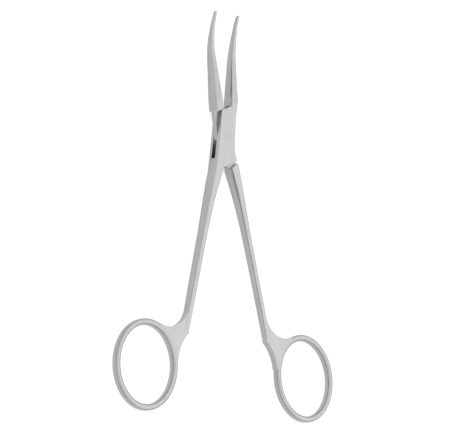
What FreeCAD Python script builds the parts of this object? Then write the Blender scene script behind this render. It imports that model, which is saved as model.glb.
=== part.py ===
import FreeCAD, Part
import math
import os
import re
import Sketcher
from FreeCAD import Placement, Rotation, Vector

# Curved splinter forceps with finger rings, joined by a box lock.
# Both halves are drawn shut: the lock's axis is Z, the jaws point along +Y and
# the flat of the instrument is the XY plane. Then each half turns by half of the
# opening at which the instrument lies. Lengths in mm, angles in degrees.

dimensions = {
    # how it lies
    "restOpening": 11.4,
    # box lock
    "boxThickness": 4.8,
    "boxHalfWidth": 3.05,
    "boxBackWidth": 3.35,
    "boxFlareStart": 3.0,
    "boxFootWidth": 4.2,
    "boxFootStation": 7.9,
    "boxHeelWidth": 4.0,
    "boxHeelStation": 12.0,
    "upperStepOuter": 8.35,
    "upperStepInner": 10.95,
    "lowerStepInner": 10.75,
    "crotchOffset": 0.25,
    "boxEdgeRadius": 0.3,
    "slotHeight": 1.9,
    "tongueClearance": 0.04,
    "slotWallDepth": 8.45,
    "tongueCorner": 1.0,
    "tongueSpread": 0.3,
    "shoulderGap": 0.55,
    # riveted pin
    "pinRadius": 1.4,
    "rivetHeadRadius": 1.75,
    "rivetHeadDepth": 0.45,
    "pinClearance": 0.05,
    # jaws
    "jawLength": 43.0,
    "jawRootStation": 13.0,
    "jawRootWidth": 2.65,
    "jawNeck": 0.35,
    "jawTipWidth": 0.95,
    "jawRootThickness": 4.7,
    "jawTipThickness": 1.3,
    "jawTaper": 1.2,
    "jawRelief": 0.72,
    "jawDip": 0.7,
    "bendStart": 28.0,
    "bendRadius": 36.0,
    "noseLength": 0.6,
    "jawEdgeRadius": 0.25,
    "tipGap": 0.06,
    "biteLength": 9.5,
    # cross serrations
    "serratedLength": 7.0,
    "toothPitch": 0.5,
    "toothDepth": 0.2,
    # shanks
    "shankOffset": 1.56,
    "shankAngle": 7.45,
    "shankRootWidth": 3.35,
    "shankRootThickness": 4.75,
    "shankRootInset": 1.1,
    "widthReach": 20.0,
    "thicknessReach": 22.0,
    "insetReach": 14.0,
    "boxShankWidth": 1.9,
    "boxShankThickness": 3.3,
    "tongueShankWidth": 1.7,
    "tongueShankThickness": 2.9,
    "shankEdgeRadius": 0.4,
    "shankEnd": 69.1,
    # finger rings and the web that carries them
    "ringCentreX": 25.05,
    "ringCentreY": 81.75,
    "ringTilt": 1.2,
    "ringHalfLength": 13.8,
    "ringHalfWidth": 11.35,
    "ringBandWidth": 2.1,
    "ringBandThickness": 2.7,
    "ringEdgeRadius": 0.85,
    "webThickness": 2.6,
    "crotchStation": 61.2,
    "crotchRadius": 8.0,
    "crotchEndAngle": 71.0,
    "innerCornerRadius": 13.0,
    "innerMergeAngle": 12.0,
}

doc = FreeCAD.newDocument("forceps")
sizes = doc.addObject("Spreadsheet::Sheet", "sizes")
for row, (alias, number) in enumerate(dimensions.items(), start=1):
    sizes.set(f"A{row}", alias)
    sizes.set(f"B{row}", str(number))
    sizes.setAlias(f"B{row}", alias)
doc.recompute()


def value(expression):
    """Number that an expression of the sheet's words has now."""
    return float(sizes.evalExpression(expression))


def bound(expression):
    """The same expression as another object has to write it."""
    def qualify(match):
        word = match.group(0)
        return f"sizes.{word}" if word in dimensions else word
    return re.sub(r"[A-Za-z]\w*", qualify, expression)


def bind(thing, prop, expression):
    thing.setExpression(prop, bound(expression))


def originPlane(body, role):
    for feature in body.Origin.OriginFeatures:
        if feature.Role == role:
            return feature


def newBody(name):
    return doc.addObject("PartDesign::Body", name)


def newSketch(body, name, role):
    sketch = body.newObject("Sketcher::SketchObject", name)
    sketch.AttachmentSupport = [(originPlane(body, role), "")]
    sketch.MapMode = "FlatFace"
    return sketch


def fixPoint(sketch, geometry, end, x, y):
    """Ties one end of a line or arc to a place given by two expressions."""
    for kind, expression in (("DistanceX", x), ("DistanceY", y)):
        number = sketch.addConstraint(Sketcher.Constraint(kind, -1, 1, geometry, end, value(expression)))
        bind(sketch, f"Constraints[{number}]", expression)


def outline(sketch, corners, arcs=None):
    """Closed outline through corners. arcs gives, for a side that starts at a
    corner and is bent, the way it bends and its radius."""
    arcs = arcs or {}
    places = [Vector(value(x), value(y), 0) for x, y in corners]
    for index, start in enumerate(places):
        end = places[(index + 1) % len(places)]
        if index not in arcs:
            sketch.addGeometry(Part.LineSegment(start, end))
            continue
        bend, radius = arcs[index]
        sketch.addGeometry(arcBetween(start, end, value(radius), bend))
    for index, corner in enumerate(corners):
        before = (index - 1) % len(corners)
        firstEnd = endOf(sketch, before, places[index])
        ownEnd = endOf(sketch, index, places[index])
        sketch.addConstraint(Sketcher.Constraint("Coincident", before, firstEnd, index, ownEnd))
        fixPoint(sketch, index, ownEnd, *corner)
        if index in arcs:
            radius = arcs[index][1]
            number = sketch.addConstraint(Sketcher.Constraint("Radius", index, value(radius)))
            bind(sketch, f"Constraints[{number}]", radius)
    return sketch


def arcBetween(start, end, radius, bend):
    """Arc of a radius from start to end, on the left of the way there if bend is
    1 and on its right if it is -1, drawn anticlockwise as every arc has to be."""
    chord = end - start
    depth = math.sqrt(radius ** 2 - chord.Length ** 2 / 4)
    leftward = Vector(-chord.y, chord.x, 0).normalize()
    centre = (start + end) * 0.5 - leftward * (depth * bend)
    first, last = (end, start) if bend > 0 else (start, end)
    angles = [math.atan2(place.y - centre.y, place.x - centre.x) for place in (first, last)]
    return Part.ArcOfCircle(Part.Circle(centre, Vector(0, 0, 1), radius), *angles)


def endOf(sketch, geometry, place):
    """1 where the line or arc starts at the place, 2 where it ends there."""
    side = sketch.Geometry[geometry]
    return 1 if (side.StartPoint - place).Length < (side.EndPoint - place).Length else 2


def roundedSection(body, name, station, left, right, low, high, radius):
    """Rounded rectangle across the instrument at Y = station."""
    sketch = newSketch(body, name, "XZ_Plane")
    bind(sketch, "AttachmentOffset.Base.z", f"-({station})")
    x0, x1, z0, z1 = value(left), value(right), value(low), value(high)
    r = value(radius)
    quarter = math.pi / 2
    ring = [((x0 + r, z0), (x1 - r, z0)), ((x1, z0 + r), (x1, z1 - r)),
            ((x1 - r, z1), (x0 + r, z1)), ((x0, z1 - r), (x0, z0 + r))]
    centres = [(x1 - r, z0 + r), (x1 - r, z1 - r), (x0 + r, z1 - r), (x0 + r, z0 + r)]
    for turn, (side, centre) in enumerate(zip(ring, centres)):
        sketch.addGeometry(Part.LineSegment(Vector(*side[0], 0), Vector(*side[1], 0)))
        circle = Part.Circle(Vector(*centre, 0), Vector(0, 0, 1), r)
        sketch.addGeometry(Part.ArcOfCircle(circle, (turn - 1) * quarter, turn * quarter))
    for geometry in range(8):
        following = (geometry + 1) % 8
        sketch.addConstraint(Sketcher.Constraint("Tangent", geometry, 2, following, 1))
    for geometry, kind in ((0, "Horizontal"), (2, "Vertical"), (4, "Horizontal"), (6, "Vertical")):
        sketch.addConstraint(Sketcher.Constraint(kind, geometry))
    for arc in (3, 5, 7):
        sketch.addConstraint(Sketcher.Constraint("Equal", 1, arc))
    ties = (("DistanceX", 6, left), ("DistanceX", 2, right), ("DistanceY", 0, low), ("DistanceY", 4, high))
    for kind, geometry, expression in ties:
        number = sketch.addConstraint(Sketcher.Constraint(kind, -1, 1, geometry, 1, value(expression)))
        bind(sketch, f"Constraints[{number}]", expression)
    number = sketch.addConstraint(Sketcher.Constraint("Radius", 1, r))
    bind(sketch, f"Constraints[{number}]", radius)
    return sketch


def loft(body, name, sections, ruled=False):
    feature = body.newObject("PartDesign::AdditiveLoft", name)
    feature.Profile = sections[0]
    feature.Sections = [(section, [""]) for section in sections[1:]]
    feature.Ruled = ruled
    doc.recompute()
    return feature


def plate(body, name, sketch, thickness):
    """Slab of a plan outline, half of its thickness each side of the mid plane."""
    pad = body.newObject("PartDesign::Pad", name)
    pad.Profile = sketch
    pad.Midplane = True
    bind(pad, "Length", thickness)
    doc.recompute()
    return pad


def roundRims(body, name, pad, radius):
    """Rounds the rims of a slab's two flat faces."""
    flats = [f"Face{number}" for number, face in enumerate(pad.Shape.Faces, start=1)
             if abs(face.normalAt(0, 0).z) > 0.99]
    fillet = body.newObject("PartDesign::Fillet", name)
    fillet.Base = (pad, flats)
    bind(fillet, "Radius", radius)
    doc.recompute()
    return fillet


def combine(kind, name, shapes):
    result = doc.addObject(kind, name)
    result.Shapes = shapes
    doc.recompute()
    return result


# Box lock seen from above, shut. The box half's shank leaves it at lower left and
# its jaw at upper right; the two step lines are the ends of its plates.
boxCorners = [
    ("-boxBackWidth", "upperStepOuter"),
    ("-boxBackWidth", "boxFlareStart"),
    ("-boxHeelWidth", "-boxHeelStation"),
    ("-crotchOffset", "-lowerStepInner"),
    ("boxFootWidth", "-boxFootStation"),
    ("boxHalfWidth", "boxFlareStart"),
    ("boxHalfWidth", "upperStepInner"),
    ("jawRelief", "upperStepInner"),
]
tongueCorners = [("-boxBackWidth - tongueSpread", "upperStepOuter")] + boxCorners[1:]
flareRun = "(boxFlareStart + boxFootStation)"
flareRise = "(boxFootWidth - boxHalfWidth)"
flareRadius = f"({flareRun} ^ 2 + {flareRise} ^ 2) / (2 * {flareRise})"
boxArcs = {4: (1, flareRadius)}

upperSlope = "(upperStepInner - upperStepOuter) / (jawRelief + boxBackWidth)"
lowerSlope = "(lowerStepInner - boxFootStation) / (crotchOffset + boxFootWidth)"
reach = "(2 * boxFootWidth)"


def boxSlab(name, corners, thickness):
    body = newBody(name)
    sketch = outline(newSketch(body, name + "Plan", "XY_Plane"), corners, boxArcs)
    return body, plate(body, name + "Slab", sketch, thickness)


def slotCut(name):
    """Diagonal way for the tongue, open at both sides, at the upper step and at
    the lower step; it stops at a slanted wall before each root of the box half."""
    body = newBody(name)
    sketch = newSketch(body, name + "Plan", "XY_Plane")
    wall = "(slotWallDepth * sqrt(2))"
    outline(sketch, [
        (f"-{reach}", f"{reach} - {wall}"),
        (f"-{reach}", f"{wall} + shankRootWidth"),
        ("-shankRootWidth", f"{wall} + shankRootWidth"),
        (reach, f"{wall} - {reach}"),
        (reach, f"-{wall} - shankRootWidth"),
        ("shankRootWidth", f"-{wall} - shankRootWidth"),
    ])
    plate(body, name + "Slab", sketch, "slotHeight")
    return body


def tongueLimit(name):
    """Slanted plan of the tongue, which the box outline trims to the box's sides."""
    body = newBody(name)
    sketch = newSketch(body, name + "Plan", "XY_Plane")
    outline(sketch, [
        (f"-{reach}", "-tongueCorner"),
        (f"-{reach}", "upperStepInner + shoulderGap"),
        ("jawRelief - shoulderGap", "upperStepInner + shoulderGap"),
        ("boxHalfWidth", "tongueCorner"),
        (reach, "tongueCorner"),
        (reach, "-lowerStepInner - shoulderGap"),
        ("0", "-lowerStepInner - shoulderGap"),
        ("-boxHalfWidth", "-tongueCorner"),
    ])
    plate(body, name + "Slab", sketch, "slotHeight - 2 * tongueClearance")
    return body


def boxRoom(name):
    """Band between the two step lines, with the shoulders' gap: only the tongue of
    the other half lies in it."""
    body = newBody(name)
    sketch = newSketch(body, name + "Plan", "XY_Plane")
    upper = "upperStepOuter + shoulderGap + ({x} + boxBackWidth) * " + upperSlope
    lower = "-lowerStepInner - shoulderGap + ({x} + crotchOffset) * " + lowerSlope
    outline(sketch, [
        (f"-{reach}", upper.format(x=f"-{reach}")),
        (reach, upper.format(x=reach)),
        (reach, lower.format(x=reach)),
        (f"-{reach}", lower.format(x=f"-{reach}")),
    ])
    plate(body, name + "Slab", sketch, "2 * boxThickness")
    return body


def pinRevolve(name, clearance):
    """Pin with a countersunk rivet head in the outer face of each plate."""
    body = newBody(name)
    sketch = newSketch(body, name + "Profile", "XZ_Plane")
    half = "boxThickness / 2"
    outline(sketch, [
        ("0", f"-{half}"),
        (f"rivetHeadRadius + {clearance}", f"-{half}"),
        (f"pinRadius + {clearance}", f"rivetHeadDepth - {half}"),
        (f"pinRadius + {clearance}", f"{half} - rivetHeadDepth"),
        (f"rivetHeadRadius + {clearance}", half),
        ("0", half),
    ])
    turned = body.newObject("PartDesign::Revolution", name + "Turned")
    turned.Profile = sketch
    turned.ReferenceAxis = (sketch, ["V_Axis"])
    turned.Angle = 360
    doc.recompute()
    return body


straightSteps = 3
curvedSteps = 4
jawStart = "(upperStepOuter - boxEdgeRadius)"
noseFractions = (0.0, 0.45, 0.75, 0.96)


def jawSection(body, name, side, half, station, scale="1"):
    """Section of a jaw: it tapers to the tip, its underside stays level as far as
    the bend, and from there its middle follows an arc upwards. The box half's jaw
    is a little narrower where it runs into the lock."""
    left = f"min(1; (jawLength - ({station})) / (jawLength - jawRootStation)) ^ jawTaper"
    behind = f"max(0; jawRootStation - {station}) / (jawRootStation - {jawStart})"
    neck = f" - jawNeck * {behind}" if half == "box" else ""
    width = f"(jawTipWidth + (jawRootWidth - jawTipWidth) * {left}{neck})"
    thickness = f"(jawTipThickness + (jawRootThickness - jawTipThickness) * {left})"
    inner = f"min(jawRelief; tipGap + (jawRelief - tipGap) * (jawLength - ({station})) / biteLength)"
    middleX = f"({inner} + {width} / 2)"
    beyond = f"max(0; {station} - bendStart)"
    straight = f"min(1; max(0; ({station} - jawRootStation) / (bendStart - jawRootStation)))"
    middleZ = f"(bendRadius - sqrt(bendRadius ^ 2 - {beyond} ^ 2) - jawDip * {straight})"
    near = f"({middleX} - {scale} * {width} / 2)"
    far = f"({middleX} + {scale} * {width} / 2)"
    low = f"{middleZ} - {scale} * {thickness} / 2"
    high = f"{middleZ} + {scale} * {thickness} / 2"
    radius = f"min(jawEdgeRadius; 0.3 * {width}) * {scale}"
    if side > 0:
        return roundedSection(body, name, station, near, far, low, high, radius)
    return roundedSection(body, name, station, f"-{far}", f"-{near}", low, high, radius)


def jaw(name, side, half):
    body = newBody(name)
    noseStart = "(jawLength - noseLength)"
    straight = [jawStart]
    for number in range(straightSteps + 1):
        straight.append(f"(jawRootStation + {number} / {straightSteps} * (bendStart - jawRootStation))")
    curved = [f"(bendStart + {number} / {curvedSteps} * ({noseStart} - bendStart))"
              for number in range(curvedSteps + 1)]
    for run, stations, ruled in (("Root", straight, True), ("Blade", curved, False)):
        sections = [jawSection(body, f"{name}{run}{number}", side, half, station)
                    for number, station in enumerate(stations)]
        loft(body, name + run, sections, ruled)
    nose = []
    for number, fraction in enumerate(noseFractions):
        station = f"({noseStart} + {fraction} * noseLength)"
        scale = f"sqrt(1 - {fraction} ^ 2)"
        nose.append(jawSection(body, f"{name}Nose{number}", side, half, station, scale))
    loft(body, name + "Nose", nose, ruled=True)
    return body


def teethCut(name, side, shift):
    """Comb that cuts cross serrations, square to the jaw's length, into the
    gripping face; the other jaw's comb is half a pitch further on."""
    body = newBody(name)
    sketch = newSketch(body, name + "Comb", "XY_Plane")
    middle = "(jawLength - serratedLength / 2)"
    rise = f"(bendRadius - sqrt(bendRadius ^ 2 - ({middle} - bendStart) ^ 2) - jawDip)"
    sketch.AttachmentOffset = Placement(Vector(), Rotation(Vector(1, 0, 0), 1))
    bind(sketch, "AttachmentOffset.Base.y", middle)
    bind(sketch, "AttachmentOffset.Base.z", rise)
    bind(sketch, "AttachmentOffset.Rotation.Angle", f"asin(({middle} - bendStart) / bendRadius)")
    slope = "(jawRelief - tipGap) / biteLength"
    face = f"(tipGap + {slope} * (serratedLength / 2 - ({{y}})))"
    count = int(value("serratedLength / toothPitch"))
    points = []
    for tooth in range(count):
        root = f"({tooth} + {shift}) * toothPitch - serratedLength / 2"
        crest = f"({tooth} + {shift} + 0.5) * toothPitch - serratedLength / 2"
        points.append((face.format(y=root), root))
        points.append((f"({face.format(y=crest)} + toothDepth)", crest))
    end = f"({count} + {shift}) * toothPitch - serratedLength / 2"
    points.append((face.format(y=end), end))
    points.append(("-toothPitch", end))
    points.append(("-toothPitch", f"{shift} * toothPitch - serratedLength / 2"))
    outline(sketch, [(f"{side} * {x}", y) for x, y in points])
    plate(body, name + "Slab", sketch, "jawRootThickness")
    return body


shankSteps = 8


def fade(station, reach):
    """Falls smoothly along the shank from 1 at the pivot, by half at reach."""
    return f"(1 / (1 + ({station} / {reach}) ^ 4))"


def shankMiddle(station):
    """Distance of a shank's middle from the instrument's middle line."""
    bend = "shankRootInset * " + fade(station, "insetReach")
    return f"(shankOffset + {station} * tan(shankAngle * 1deg) - {bend})"


def shank(name, side, half):
    """Bar from inside the lock to the ring's web, wide and thick at its root and as
    thick as the ring's band at its end."""
    body = newBody(name)
    sections = []
    start = "(boxFootStation - 2 * boxEdgeRadius)"
    for number in range(shankSteps + 1):
        station = f"({start} + {number} / {shankSteps} * (shankEnd - {start}))"
        slim = fade(station, "widthReach")
        thin = fade(station, "thicknessReach")
        width = f"({half}ShankWidth + (shankRootWidth - {half}ShankWidth) * {slim})"
        even = f"({half}ShankThickness - ringBandThickness) * ({station} / shankEnd) ^ 8"
        thickness = f"({half}ShankThickness + (shankRootThickness - {half}ShankThickness) * {thin} - {even})"
        middle = shankMiddle(station)
        near = f"({middle} - {width} / 2)"
        far = f"({middle} + {width} / 2)"
        across = (near, far) if side > 0 else (f"-{far}", f"-{near}")
        sections.append(roundedSection(body, f"{name}Section{number}", f"-{station}", *across,
                                       f"-{thickness} / 2", f"{thickness} / 2", "shankEdgeRadius"))
    loft(body, name + "Bar", sections)
    return body


def ringPoint(angle, growth):
    """Point of the ring's oval at an angle from its inner end, in the instrument's
    plan on the +X side; growth widens the oval."""
    along = f"(ringHalfWidth + {growth}) * cos(({angle}) * 1deg)"
    up = f"(ringHalfLength + {growth}) * sin(({angle}) * 1deg)"
    tilt = "(ringTilt * 1deg)"
    x = f"(ringCentreX - ({along}) * cos({tilt}) + ({up}) * sin({tilt}))"
    y = f"(-ringCentreY + ({along}) * sin({tilt}) + ({up}) * cos({tilt}))"
    return x, y


def web(name, side, half):
    """Flat web in the crotch between shank and ring."""
    body = newBody(name)
    sketch = newSketch(body, name + "Plan", "XY_Plane")
    outerTop = f"({shankMiddle('crotchStation')} + {half}ShankWidth / 2)"
    innerTop = shankMiddle("crotchStation")
    innerFoot = f"({shankMiddle('shankEnd')} - {half}ShankWidth / 2)"
    crotchEnd = ringPoint("crotchEndAngle", "ringBandWidth / 2")
    mergeEnd = ringPoint("innerMergeAngle", "ringBandWidth / 2")
    mergeIn = ringPoint("innerMergeAngle", "0")
    crotchIn = ringPoint("crotchEndAngle", "0")
    middleIn = ringPoint("(crotchEndAngle + innerMergeAngle) / 2", "0")
    corners = [
        (innerTop, "-crotchStation"),
        (outerTop, "-crotchStation"),
        crotchEnd,
        crotchIn,
        middleIn,
        mergeIn,
        mergeEnd,
        (innerFoot, "-shankEnd"),
    ]
    bend = 1 if side > 0 else -1
    outline(sketch, [(f"{side} * {x}", y) for x, y in corners],
            {1: (-bend, "crotchRadius"), 6: (-bend, "innerCornerRadius")})
    plate(body, name + "Slab", sketch, "webThickness")
    return body


def fingerRing(name, side):
    """Oval band, swept once round, then set at the end of its shank."""
    body = newBody(name)
    path = newSketch(body, name + "Path", "XY_Plane")
    oval = Part.Ellipse(Vector(0, value("ringHalfLength"), 0), Vector(value("ringHalfWidth"), 0, 0), Vector())
    path.addGeometry(oval)
    path.exposeInternalGeometry(0)
    path.addConstraint(Sketcher.Constraint("Coincident", 0, 3, -1, 1))
    path.addConstraint(Sketcher.Constraint("Vertical", 1))
    for line, size in ((1, "2 * ringHalfLength"), (2, "2 * ringHalfWidth")):
        number = path.addConstraint(Sketcher.Constraint("Distance", line, value(size)))
        bind(path, f"Constraints[{number}]", size)
    section = roundedSection(body, name + "Section", "0",
                             "ringHalfWidth - ringBandWidth / 2", "ringHalfWidth + ringBandWidth / 2",
                             "-ringBandThickness / 2", "ringBandThickness / 2", "ringEdgeRadius")
    band = body.newObject("PartDesign::AdditivePipe", name + "Band")
    band.Profile = section
    band.Spine = (path, ["Edge1"])
    body.Placement = Placement(Vector(), Rotation(Vector(0, 0, 1), 1))
    bind(body, "Placement.Base.x", f"{side} * ringCentreX")
    bind(body, "Placement.Base.y", "-ringCentreY")
    bind(body, "Placement.Rotation.Angle", f"{-side} * ringTilt")
    doc.recompute()
    return body


def layDown(node, turn):
    """Turns a half from shut to its place at rest, on the plane Z = 0."""
    node.Placement = Placement(Vector(), Rotation(Vector(0, 0, 1), 1))
    bind(node, "Placement.Rotation.Angle", f"{turn} * restOpening / 2")
    bind(node, "Placement.Base.z", "boxThickness / 2")


def cut(name, base, tool):
    result = doc.addObject("Part::Cut", name)
    result.Base = base
    result.Tool = tool
    doc.recompute()
    return result


# The box half: left shank and ring, slotted box, right jaw.
boxBody, boxPad = boxSlab("boxBlock", boxCorners, "boxThickness")
roundRims(boxBody, "boxBlockRims", boxPad, "boxEdgeRadius")
boxForging = combine("Part::MultiFuse", "boxForging", [
    boxBody,
    jaw("boxJaw", 1, "box"),
    shank("boxShank", -1, "box"),
    web("boxWeb", -1, "box"),
    fingerRing("boxRing", -1),
])
boxTools = combine("Part::MultiFuse", "boxTools", [
    slotCut("slot"),
    pinRevolve("rivetHole", "0"),
    teethCut("boxTeeth", 1, 0),
])
boxHalf = cut("boxHalf", boxForging, boxTools)
boxHalf.Label = "box_half"
layDown(boxHalf, -1)

# The tongue half: right shank and ring, flat tongue, left jaw.
tongueArms = combine("Part::MultiFuse", "tongueArms", [
    jaw("tongueJaw", -1, "tongue"),
    shank("tongueShank", 1, "tongue"),
    web("tongueWeb", 1, "tongue"),
    fingerRing("tongueRing", 1),
])
shouldered = cut("shouldered", tongueArms, boxRoom("boxRoom"))
tongueOutline, tonguePad = boxSlab("tongueOutline", tongueCorners, "boxThickness")
tongueStock = combine("Part::MultiFuse", "tongueStock", [tongueOutline, tongueArms])
tongue = combine("Part::MultiCommon", "tongue", [tongueStock, tongueLimit("tongueLimit")])
tongueForging = combine("Part::MultiFuse", "tongueForging", [shouldered, tongue])
tongueTools = combine("Part::MultiFuse", "tongueTools", [
    pinRevolve("pinHole", "pinClearance"),
    teethCut("tongueTeeth", -1, 0.5),
])
tongueHalf = cut("tongueHalf", tongueForging, tongueTools)
tongueHalf.Label = "tongue_half"
layDown(tongueHalf, 1)

# The pin, riveted flush into both plates.
lockPin = pinRevolve("lockPin", "0")
lockPin.Label = "lock_pin"
bind(lockPin, "Placement.Base.z", "boxThickness / 2")
doc.recompute()

nodes = [boxHalf, tongueHalf, lockPin]
for item in doc.Objects:
    if "Invalid" in item.State or "Error" in item.State:
        raise SystemExit(f"{item.Name} failed: {item.State}")
for node in nodes:
    shape = node.Shape
    if shape.isNull() or not shape.isValid() or len(shape.Solids) != 1:
        raise SystemExit(f"{node.Label} is not one sound solid: {len(shape.Solids)}")
    print(node.Label, round(shape.Volume, 2), "mm3", shape.BoundBox)

os.makedirs("parts", exist_ok=True)
for node in nodes:
    node.Shape.exportStep(f"parts/{node.Label}.step")
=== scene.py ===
import math
import bmesh
import bpy
import numpy as np
from mathutils import Matrix, Vector


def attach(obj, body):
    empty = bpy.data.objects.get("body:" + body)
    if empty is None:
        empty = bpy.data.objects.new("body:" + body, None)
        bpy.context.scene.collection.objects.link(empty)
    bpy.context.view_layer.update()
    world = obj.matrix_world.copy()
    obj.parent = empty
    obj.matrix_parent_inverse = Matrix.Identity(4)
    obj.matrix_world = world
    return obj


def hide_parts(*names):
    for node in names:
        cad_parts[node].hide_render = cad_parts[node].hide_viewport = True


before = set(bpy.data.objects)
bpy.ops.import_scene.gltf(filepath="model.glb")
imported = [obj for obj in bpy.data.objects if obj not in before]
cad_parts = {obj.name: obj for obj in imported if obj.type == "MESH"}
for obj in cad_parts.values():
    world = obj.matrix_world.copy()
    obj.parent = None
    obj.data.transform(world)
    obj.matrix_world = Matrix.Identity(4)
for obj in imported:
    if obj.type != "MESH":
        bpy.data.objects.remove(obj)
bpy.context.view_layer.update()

print("frame loaded")


# Camera, at the photograph's angle: it looks down on the forceps from the lower left.
camera = {
    "azimuth": 38.6035,   # degrees from straight above towards -X
    "tip": 11.2919,       # degrees towards the finger rings
    "roll": -0.7056,
    "distance": 0.73395,
    "target": (0.000108, -0.028967, 0.0024),
    "pixelsPerMm": 3.01038,
    "pixelsWide": 450,
}


def addCamera(sizes):
    azimuth, tip, roll = (math.radians(sizes[word]) for word in ("azimuth", "tip", "roll"))
    back = Vector((-math.sin(azimuth) * math.cos(tip), -math.sin(tip), math.cos(azimuth) * math.cos(tip)))
    side = Vector((0, 1, 0)).cross(back).normalized()
    up = back.cross(side)
    right = side * math.cos(roll) + up * math.sin(roll)
    top = up * math.cos(roll) - side * math.sin(roll)
    turn = Matrix((right, top, back)).transposed().to_4x4()
    data = bpy.data.cameras.new("photoCamera")
    data.sensor_width = 36
    data.lens = sizes["distance"] * 1000 * sizes["pixelsPerMm"] * data.sensor_width / sizes["pixelsWide"]
    data.clip_start = 0.01
    data.clip_end = 10
    eye = bpy.data.objects.new("photoCamera", data)
    bpy.context.collection.objects.link(eye)
    eye.matrix_world = Matrix.Translation(Vector(sizes["target"]) + back * sizes["distance"]) @ turn
    bpy.context.scene.camera = eye


addCamera(camera)
print("camera set")


# Floor and light: a light table inside a bright tent, open round its foot, with one wide lamp.
studio = {
    "floorSize": 3.0,
    "floorDrop": 0.0001,  # just clear of the lock's flat underside
    "floorColour": (0.32, 0.32, 0.32, 1),
    "floorRoughness": 0.9,
    "floorShine": 0.1,
    "floorGlow": 0.80,
    "tentLight": (1.2, 1.5),   # walls and roof of the tent, on the camera's side and across from it
    "footLight": (0.2, 0.7),   # the band round its foot, open on the camera's side
    "tentTurn": (-0.25, 0.5),  # share of +X where the one side starts and ends passing into the other
    "footTop": 0.16,           # sine of the elevation where the band ends
    "wallStart": 0.42,         # and where the wall is fully bright
}
keyLamp = {
    "place": (0.61, -0.05, 0.77),
    "aim": (0, -0.03, 0),
    "size": 0.7,
    "watts": 0.30,
}


def addFloor(sizes):
    reach, low = sizes["floorSize"] / 2, -sizes["floorDrop"]
    corners = [(-reach, -reach, low), (reach, -reach, low), (reach, reach, low), (-reach, reach, low)]
    mesh = bpy.data.meshes.new("tableTop")
    mesh.from_pydata(corners, [], [(0, 1, 2, 3)])
    floor = bpy.data.objects.new("tableTop", mesh)
    bpy.context.collection.objects.link(floor)
    paint = bpy.data.materials.new("tablePaint")
    paint.use_nodes = True
    shader = paint.node_tree.nodes["Principled BSDF"]
    shader.inputs["Base Color"].default_value = sizes["floorColour"]
    shader.inputs["Roughness"].default_value = sizes["floorRoughness"]
    shader.inputs["Specular IOR Level"].default_value = sizes["floorShine"]
    shader.inputs["Emission Color"].default_value = (1, 1, 1, 1)
    shader.inputs["Emission Strength"].default_value = sizes["floorGlow"]
    mesh.materials.append(paint)


def addTent(sizes):
    world = bpy.data.worlds.new("lightTent")
    world.use_nodes = True
    nodes, links = world.node_tree.nodes, world.node_tree.links
    direction = nodes.new("ShaderNodeTexCoord")
    split = nodes.new("ShaderNodeSeparateXYZ")
    links.new(direction.outputs["Generated"], split.inputs["Vector"])
    height = nodes.new("ShaderNodeMath")
    height.operation = "ABSOLUTE"
    links.new(split.outputs["Z"], height.inputs[0])
    rise = nodes.new("ShaderNodeMapRange")    # from the foot's light to the wall's
    rise.interpolation_type = "SMOOTHSTEP"
    rise.inputs["From Min"].default_value = sizes["footTop"]
    rise.inputs["From Max"].default_value = sizes["wallStart"]
    links.new(height.outputs["Value"], rise.inputs["Value"])
    for word, socket in (("footLight", "To Min"), ("tentLight", "To Max")):
        turn = nodes.new("ShaderNodeMapRange")    # from the camera's side to the far one
        turn.interpolation_type = "SMOOTHSTEP"
        for end, start, light in zip(("Min", "Max"), sizes["tentTurn"], sizes[word]):
            turn.inputs["From " + end].default_value = start
            turn.inputs["To " + end].default_value = light
        links.new(split.outputs["X"], turn.inputs["Value"])
        links.new(turn.outputs["Result"], rise.inputs[socket])
    links.new(rise.outputs["Result"], nodes["Background"].inputs["Strength"])
    nodes["Background"].inputs["Color"].default_value = (1, 1, 1, 1)
    bpy.context.scene.world = world


def addLamp(name, sizes):
    data = bpy.data.lights.new(name, "AREA")
    data.shape = "DISK"
    data.size = sizes["size"]
    data.energy = sizes["watts"]
    lamp = bpy.data.objects.new(name, data)
    bpy.context.collection.objects.link(lamp)
    lamp.location = sizes["place"]
    way = Vector(sizes["aim"]) - Vector(sizes["place"])
    lamp.rotation_euler = way.to_track_quat("-Z", "Y").to_euler()


addFloor(studio)
addTent(studio)
addLamp("keyLamp", keyLamp)
bpy.context.scene.view_settings.view_transform = "Standard"
print("floor and light set")


# Small helpers for node trees.
def feed(tree, socket, source):
    if isinstance(source, bpy.types.NodeSocket):
        tree.links.new(source, socket)
    elif source is not None:
        socket.default_value = source


def calculate(tree, operation, *sources, clamp=False):
    node = tree.nodes.new("ShaderNodeMath")
    node.operation = operation
    node.use_clamp = clamp
    for socket, source in zip(node.inputs, sources):
        feed(tree, socket, source)
    return node.outputs["Value"]


def between(tree, source, low, high):
    node = tree.nodes.new("ShaderNodeMapRange")
    node.inputs["From Min"].default_value = low
    node.inputs["From Max"].default_value = high
    feed(tree, node.inputs["Value"], source)
    return node.outputs["Result"]


def mixColours(tree, share, first, second):
    node = tree.nodes.new("ShaderNodeMix")
    node.data_type = "RGBA"
    feed(tree, node.inputs[0], share)
    feed(tree, node.inputs[6], first)
    feed(tree, node.inputs[7], second)
    return node.outputs[2]


def newGroup(name, inputs, outputs):
    tree = bpy.data.node_groups.new(name, "ShaderNodeTree")
    for word, kind, start in inputs:
        socket = tree.interface.new_socket(name=word, in_out="INPUT", socket_type="NodeSocket" + kind)
        if start is not None:
            socket.default_value = start
    for word, kind in outputs:
        tree.interface.new_socket(name=word, in_out="OUTPUT", socket_type="NodeSocket" + kind)
    return tree, tree.nodes.new("NodeGroupInput").outputs, tree.nodes.new("NodeGroupOutput").inputs


def placeGroup(tree, group, feeds):
    node = tree.nodes.new("ShaderNodeGroup")
    node.node_tree = group
    for word, source in feeds.items():
        feed(tree, node.inputs[word], source)
    return node.outputs


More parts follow.
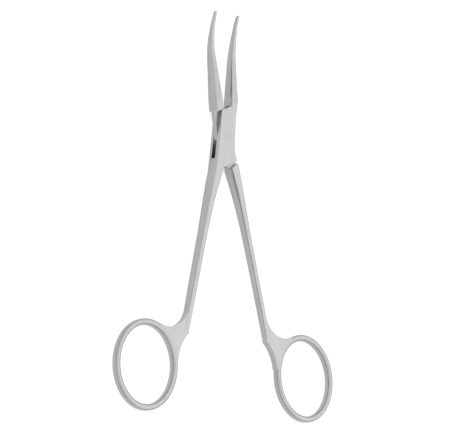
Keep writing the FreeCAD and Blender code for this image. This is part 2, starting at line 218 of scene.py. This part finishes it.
# What all the steel shares; the rest is set for each finish below.
marks = {
    "grainRange": (0.28, 0.72),  # part of the noise that is spread over the whole streak
    "grainDetail": 2,
    "leastWearHighlight": 0.3,            # share of its wear and painted highlight that a rim keeps where it is least rubbed
    "paintedShadeRange": (0.15, 0.8),   # how closed a corner is where the painted shade starts and is full
    "paintedShadeSamples": 6,
}


# Grain: streaks that the grinding belt leaves along the steel. The path is in mm, its length last.
def makeGrain():
    tree, given, made = newGroup(
        "groundGrain",
        [("Path", "Vector", None), ("Width", "Float", 0.1), ("Length", "Float", 3.0),
         ("Seed", "Float", 0.0)],
        [("Streak", "Float")])
    across = calculate(tree, "DIVIDE", 1.0, given["Width"])
    along = calculate(tree, "DIVIDE", 1.0, given["Length"])
    scale = tree.nodes.new("ShaderNodeCombineXYZ")
    for socket, source in zip(scale.inputs, (across, across, along)):
        feed(tree, socket, source)
    stretch = tree.nodes.new("ShaderNodeVectorMath")
    stretch.operation = "MULTIPLY"
    feed(tree, stretch.inputs[0], given["Path"])
    feed(tree, stretch.inputs[1], scale.outputs["Vector"])
    cloud = tree.nodes.new("ShaderNodeTexNoise")
    cloud.noise_dimensions = "4D"
    cloud.inputs["Scale"].default_value = 1
    cloud.inputs["Detail"].default_value = marks["grainDetail"]
    feed(tree, cloud.inputs["Vector"], stretch.outputs["Vector"])
    feed(tree, cloud.inputs["W"], given["Seed"])
    feed(tree, made["Streak"], between(tree, cloud.outputs["Fac"], *marks["grainRange"]))
    return tree


# Rims drawn brighter, here more and there less: partly rubbed wear, partly a painted highlight.
def makeWearHighlight(grain):
    tree, given, made = newGroup(
        "wornRimHighlight",
        [("Path", "Vector", None), ("Rim", "Float", 0.0), ("Patch", "Float", 2.5),
         ("Seed", "Float", 0.0)],
        [("WearHighlight", "Float")])
    patch = placeGroup(tree, grain, {"Path": given["Path"], "Width": given["Patch"],
                                     "Length": given["Patch"], "Seed": given["Seed"]})["Streak"]
    share = calculate(tree, "MULTIPLY_ADD", patch, 1 - marks["leastWearHighlight"], marks["leastWearHighlight"])
    feed(tree, made["WearHighlight"], calculate(tree, "MULTIPLY", given["Rim"], share, clamp=True))
    return tree


# Painted shade: corners, the lock's slot and the spaces between the serrations drawn darker, as the shade
# that falls there.
def makePaintedShade():
    tree, given, made = newGroup(
        "recessPaintedShade",
        [("Reach", "Float", 0.001), ("Depth", "Float", 1.0)],
        [("PaintedShade", "Float")])
    hollow = tree.nodes.new("ShaderNodeAmbientOcclusion")
    hollow.samples = marks["paintedShadeSamples"]
    hollow.only_local = True
    feed(tree, hollow.inputs["Distance"], given["Reach"])
    closed = calculate(tree, "SUBTRACT", 1.0, hollow.outputs["AO"])
    shadeShare = between(tree, closed, *marks["paintedShadeRange"])
    feed(tree, made["PaintedShade"], calculate(tree, "MULTIPLY", shadeShare, given["Depth"], clamp=True))
    return tree


groundGrain = makeGrain()
wornRimHighlight = makeWearHighlight(groundGrain)
recessPaintedShade = makePaintedShade()


# Satin-ground stainless steel, and the pin of the lock, ground flush with the box. Sizes in mm.
satin = {
    "darkColour": (0.335, 0.335, 0.335, 1),
    "lightColour": (0.425, 0.425, 0.422, 1),
    # rims: partly rubbed steel, partly a painted highlight
    "rimWearHighlightColour": (0.48, 0.48, 0.48, 1),
    # painted shade in corners, in the slot and between the serrations
    "paintedShadeColour": (0.25, 0.25, 0.245, 1),
    "fineWidth": 0.09, "fineLength": 2.6, "fineShare": 0.30,
    "broadWidth": 0.42, "broadLength": 11.0, "broadShare": 0.40,
    "cloudWidth": 3.0, "cloudLength": 7.0, "cloudShare": 0.30,
    "roughness": 0.29, "roughChange": 0.08, "rimSmooth": 0.07,
    # how strongly the rims are brightened, partly as wear and partly as a painted highlight
    "wearHighlight": 0.8,
    # how strongly corners are darkened and dulled as painted shade, and how far it reaches
    "paintedShade": 0.4, "paintedShadeReach": 0.9, "paintedShadeRough": 0.15,
    "grooveDepth": 0.004, "grooveStrength": 0.5, "broadGroove": 0.6,
    "seed": 1.0,
}
pin = dict(satin, darkColour=(0.325, 0.325, 0.325, 1), lightColour=(0.405, 0.405, 0.402, 1),
           fineShare=0.45, broadShare=0.25, roughness=0.31, seed=7.0)


def steel(name, look):
    material = bpy.data.materials.new(name)
    material.use_nodes = True
    tree = material.node_tree
    shader = tree.nodes["Principled BSDF"]
    shader.inputs["Metallic"].default_value = 1
    path = tree.nodes.new("ShaderNodeAttribute")
    path.attribute_name = "groundPath"
    # which rims are brightened, partly as wear and partly as a painted highlight
    rim = tree.nodes.new("ShaderNodeAttribute")
    rim.attribute_name = "rimWearHighlight"

    streaks = {}
    for step, kind in enumerate(("fine", "broad", "cloud")):
        streaks[kind] = placeGroup(tree, groundGrain, {
            "Path": path.outputs["Vector"], "Width": look[kind + "Width"],
            "Length": look[kind + "Length"], "Seed": look["seed"] + step})["Streak"]
    tone = calculate(tree, "MULTIPLY", streaks["fine"], look["fineShare"])
    for kind in ("broad", "cloud"):
        tone = calculate(tree, "MULTIPLY_ADD", streaks[kind], look[kind + "Share"], tone)
    # Rims brightened and smoothed: partly wear, partly a painted highlight.
    wearHighlight = placeGroup(tree, wornRimHighlight, {
        "Path": path.outputs["Vector"], "Rim": rim.outputs["Fac"], "Seed": look["seed"] + 3})["WearHighlight"]
    wearHighlight = calculate(tree, "MULTIPLY", wearHighlight, look["wearHighlight"])
    # Painted shade: corners, the slot and the serrations made darker and rougher.
    paintedShade = placeGroup(tree, recessPaintedShade, {
        "Reach": look["paintedShadeReach"] / 1000, "Depth": look["paintedShade"]})["PaintedShade"]

    colour = mixColours(tree, tone, look["darkColour"], look["lightColour"])
    colour = mixColours(tree, wearHighlight, colour, look["rimWearHighlightColour"])
    colour = mixColours(tree, paintedShade, colour, look["paintedShadeColour"])
    feed(tree, shader.inputs["Base Color"], colour)
    smoothest = look["roughness"] - look["roughChange"] / 2
    rough = calculate(tree, "MULTIPLY_ADD", tone, look["roughChange"], smoothest)
    rough = calculate(tree, "MULTIPLY_ADD", wearHighlight, -look["rimSmooth"], rough)
    rough = calculate(tree, "MULTIPLY_ADD", paintedShade, look["paintedShadeRough"], rough)
    feed(tree, shader.inputs["Roughness"], rough)
    bump = tree.nodes.new("ShaderNodeBump")
    bump.inputs["Strength"].default_value = look["grooveStrength"]
    bump.inputs["Distance"].default_value = look["grooveDepth"] / 1000
    grooves = calculate(tree, "MULTIPLY_ADD", streaks["broad"], look["broadGroove"], streaks["fine"])
    feed(tree, bump.inputs["Height"], grooves)
    feed(tree, shader.inputs["Normal"], bump.outputs["Normal"])
    return material


satinSteel = steel("satinSteel", satin)
pinSteel = steel("pinSteel", pin)
print("steels mixed")


# The forged pieces: each node's own shape, welded and smoothed, with the way that it was ground.
# Stations and places are in mm from the pivot, on a half turned shut, its ring towards +X.
forging = {
    "weld": 0.000002,       # m
    "sharpAngle": 32,       # degrees; a keener edge stays crisp
    "leastWidth": 0.001,    # mm
    "flatCurve": 0.9,       # per mm: below this a surface is no rim
    "rimCurve": 2.6,        # and above this it is a full rim
}
grinding = {
    "shankStart": -9.0,
    "shankLean": 7.45,      # degrees
    "ringCentre": (25.05, -81.75),
    "ringOutline": (12.7, 15.1),
    "ringRadius": 12.6,
}
crowns = {    # how much the shading of tops and sides leans towards that of an oval section
    "shank": {"stations": (-63, -13), "lean": grinding["shankLean"], "fade": 4, "cuts": 60,
              "topCrown": 0.3, "sideCrown": 2.5},
    "jaw": {"stations": (13, 42.5), "lean": 0, "fade": 4, "cuts": 60,
            "topCrown": 0.3, "sideCrown": 2.2},
    "ring": {"centre": grinding["ringCentre"], "middle": (11.35, 13.8), "width": 2.1, "thickness": 2.7,
             "slack": 0.05, "topCrown": 0.9, "sideCrown": 0.6},
}
facing = 0.6    # cosine past which a normal counts as facing that way
pieces = {
    # name: (node, body, material slot, material, side of its ring, degrees turned from shut)
    "boxHalfSteel": ("box_half", "box_half", "satin_steel", satinSteel, -1, -5.7),
    "tongueHalfSteel": ("tongue_half", "tongue_half", "satin_steel", satinSteel, 1, 5.7),
    "lockPinSteel": ("lock_pin", "box_half", "pin_steel", pinSteel, -1, -5.7),
}


def weldedCopy(name, node, sizes):
    melt = bmesh.new()
    melt.from_mesh(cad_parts[node].data)
    bmesh.ops.remove_doubles(melt, verts=melt.verts, dist=sizes["weld"])
    for face in melt.faces:
        face.smooth = True
    limit = math.radians(sizes["sharpAngle"])
    rims = []
    for edge in melt.edges:
        edge.smooth = edge.is_manifold and edge.calc_face_angle() < limit
    for face in melt.faces:
        curve = 0
        for edge in face.edges:
            if edge.smooth:
                width = sum(side.calc_area() for side in edge.link_faces) / edge.calc_length() * 1000
                curve = max(curve, edge.calc_face_angle() / max(width, sizes["leastWidth"]))
        rims.append(curve)
    mesh = bpy.data.meshes.new(name + "Rough")
    melt.to_mesh(mesh)
    melt.free()
    piece = bpy.data.objects.new(name, mesh)
    bpy.context.collection.objects.link(piece)
    even = piece.modifiers.new("evenNormals", "WEIGHTED_NORMAL")
    even.keep_sharp = True
    depsgraph = bpy.context.evaluated_depsgraph_get()
    smooth = bpy.data.meshes.new_from_object(piece.evaluated_get(depsgraph))
    piece.modifiers.remove(even)
    smooth.name = name
    piece.data = smooth
    return piece, np.array(rims)


# The rims' share of wear and painted highlight, from how sharply the surface curves there.
def writeRims(mesh, rims, sizes):
    share = np.clip((rims - sizes["flatCurve"]) / (sizes["rimCurve"] - sizes["flatCurve"]), 0, 1)
    mesh.attributes.new("rimWearHighlight", "FLOAT", "FACE").data.foreach_set("value", share)


def ownFrame(mesh, side, turn):    # each point outwards to the ring's side, along and up, in mm
    points = np.empty(len(mesh.vertices) * 3)
    mesh.vertices.foreach_get("co", points)
    points = points.reshape(-1, 3) * 1000
    turned = Matrix.Rotation(math.radians(turn), 3, "Z")
    outward, upward = np.array(turned @ Vector((side, 0, 0))), np.array(turned @ Vector((0, 1, 0)))
    return points @ outward, points @ upward, points[:, 2], outward, upward


def writePath(mesh, side, turn, sizes):
    corners = np.empty(len(mesh.loops), int)
    mesh.loops.foreach_get("vertex_index", corners)
    out, up, high = (row[corners] for row in ownFrame(mesh, side, turn)[:3])
    faceOut, faceUp = (np.repeat(row.reshape(-1, 3).mean(1), 3) for row in (out, up))

    path = np.stack([out, high, up], 1)    # jaws and box: ground along Y
    lean = math.radians(sizes["shankLean"])
    onShank = faceUp < sizes["shankStart"]
    shankPath = np.stack([out * math.cos(lean) + up * math.sin(lean), high,
                          up * math.cos(lean) - out * math.sin(lean)], 1)
    path[onShank] = shankPath[onShank]
    (centreX, centreY), (reachX, reachY) = sizes["ringCentre"], sizes["ringOutline"]
    turned, faceTurned = (np.arctan2((y - centreY) / reachY, (x - centreX) / reachX)
                          for x, y in ((out, up), (faceOut, faceUp)))
    turned = faceTurned + (turned - faceTurned + math.pi) % (2 * math.pi) - math.pi
    growth = np.hypot((out - centreX) / reachX, (up - centreY) / reachY)
    onRing = np.hypot((faceOut - centreX) / reachX, (faceUp - centreY) / reachY) < 1
    ringPath = np.stack([growth, high / sizes["ringRadius"], turned], 1) * sizes["ringRadius"]
    path[onRing] = ringPath[onRing]
    mesh.attributes.new("groundPath", "FLOAT_VECTOR", "CORNER").data.foreach_set("vector", path.ravel())


def leanNormals(normals, across, high, acrossWay, rise, tops, sides):
    oval = across[:, None] * acrossWay + high[:, None] * rise
    oval /= np.linalg.norm(oval, axis=1)[:, None]
    crown = np.where(np.abs(normals[:, 2]) > facing, tops, sides) * ((normals * oval).sum(1) > facing)
    normals += crown[:, None] * oval
    normals /= np.linalg.norm(normals, axis=1)[:, None]


def crownBar(mesh, normals, corners, frameRows, sizes):
    ends = np.empty(len(mesh.edges) * 2, int)
    mesh.edges.foreach_get("vertices", ends)
    ends = ends.reshape(-1, 2)
    out, up, high, outward, upward = frameRows
    slant = math.radians(sizes["lean"])
    across = out * math.cos(slant) + up * math.sin(slant)
    along = up * math.cos(slant) - out * math.sin(slant)
    acrossWay = outward * math.cos(slant) + upward * math.sin(slant)
    alongWay = upward * math.cos(slant) - outward * math.sin(slant)
    first, last = sizes["stations"]
    stations = np.linspace(first, last, sizes["cuts"])
    near, far = along[ends].min(1), along[ends].max(1)
    reach = []
    for station in stations:    # the bar's reach across and in height, from the edges cut there
        start, stop = ends[(near <= station) & (far > station)].T
        share = (station - along[start]) / (along[stop] - along[start])
        cut = [row[start] + share * (row[stop] - row[start]) for row in (across, high)]
        reach.append([limit(row) for row in cut for limit in (np.min, np.max)])
    left, right, low, top = np.array(reach).T
    tilt = np.gradient((low + top) / 2, stations)
    here = along[corners]
    left, right, low, top, tilt = (np.interp(here, stations, row) for row in (left, right, low, top, tilt))
    rise = np.array([0, 0, 1]) - tilt[:, None] * alongWay
    rise /= np.linalg.norm(rise, axis=1)[:, None]
    within = np.clip(np.minimum(here - first, last - here) / sizes["fade"], 0, 1)
    leanNormals(normals, (across[corners] - (left + right) / 2) / ((right - left) / 2) ** 2,
                (high[corners] - (low + top) / 2) / ((top - low) / 2) ** 2, acrossWay, rise,
                within * sizes["topCrown"], within * sizes["sideCrown"])


def crownRing(mesh, normals, corners, frameRows, sizes):
    out, up, high, outward, upward = frameRows
    (centreX, centreY), (reachX, reachY) = sizes["centre"], sizes["middle"]
    angle = np.arctan2((up - centreY) / reachY, (out - centreX) / reachX)
    away = np.stack([np.cos(angle) / reachX, np.sin(angle) / reachY], 1)
    away /= np.linalg.norm(away, axis=1)[:, None]
    across = ((out - centreX - reachX * np.cos(angle)) * away[:, 0]
              + (up - centreY - reachY * np.sin(angle)) * away[:, 1])
    onBand = np.abs(across) < sizes["width"] / 2 + sizes["slack"]
    level = np.stack([np.ones(len(out)), out, up], 1)
    plane = np.linalg.lstsq(level[onBand], high[onBand], rcond=None)[0]
    rise = np.array([0, 0, 1]) - plane[1] * outward - plane[2] * upward
    whole = np.repeat(onBand[corners].reshape(-1, 3).all(1), 3)
    leanNormals(normals, across[corners] / (sizes["width"] / 2) ** 2,
                (high - level @ plane)[corners] / (sizes["thickness"] / 2) ** 2,
                (away[:, :1] * outward + away[:, 1:] * upward)[corners], rise / np.linalg.norm(rise),
                whole * sizes["topCrown"], whole * sizes["sideCrown"])


def crownFlats(mesh, side, turn, sizes):
    corners = np.empty(len(mesh.loops), int)
    mesh.loops.foreach_get("vertex_index", corners)
    normals = np.empty(len(mesh.loops) * 3)
    mesh.corner_normals.foreach_get("vector", normals)
    normals = normals.reshape(-1, 3)
    frameRows = ownFrame(mesh, side, turn)
    for name, values in sizes.items():
        crownPart = crownRing if name == "ring" else crownBar
        crownPart(mesh, normals, corners, frameRows, values)
    mesh.normals_split_custom_set(normals)


for name, (node, body, slot, material, side, turn) in pieces.items():
    piece, rims = weldedCopy(name, node, forging)
    writeRims(piece.data, rims, forging)
    writePath(piece.data, side, turn, grinding)
    if node != "lock_pin":
        crownFlats(piece.data, side, turn, crowns)
    piece.data.materials.append(material)
    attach(piece, body)
    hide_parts(node)
    print(name, "finished,", len(piece.data.polygons), "triangles")
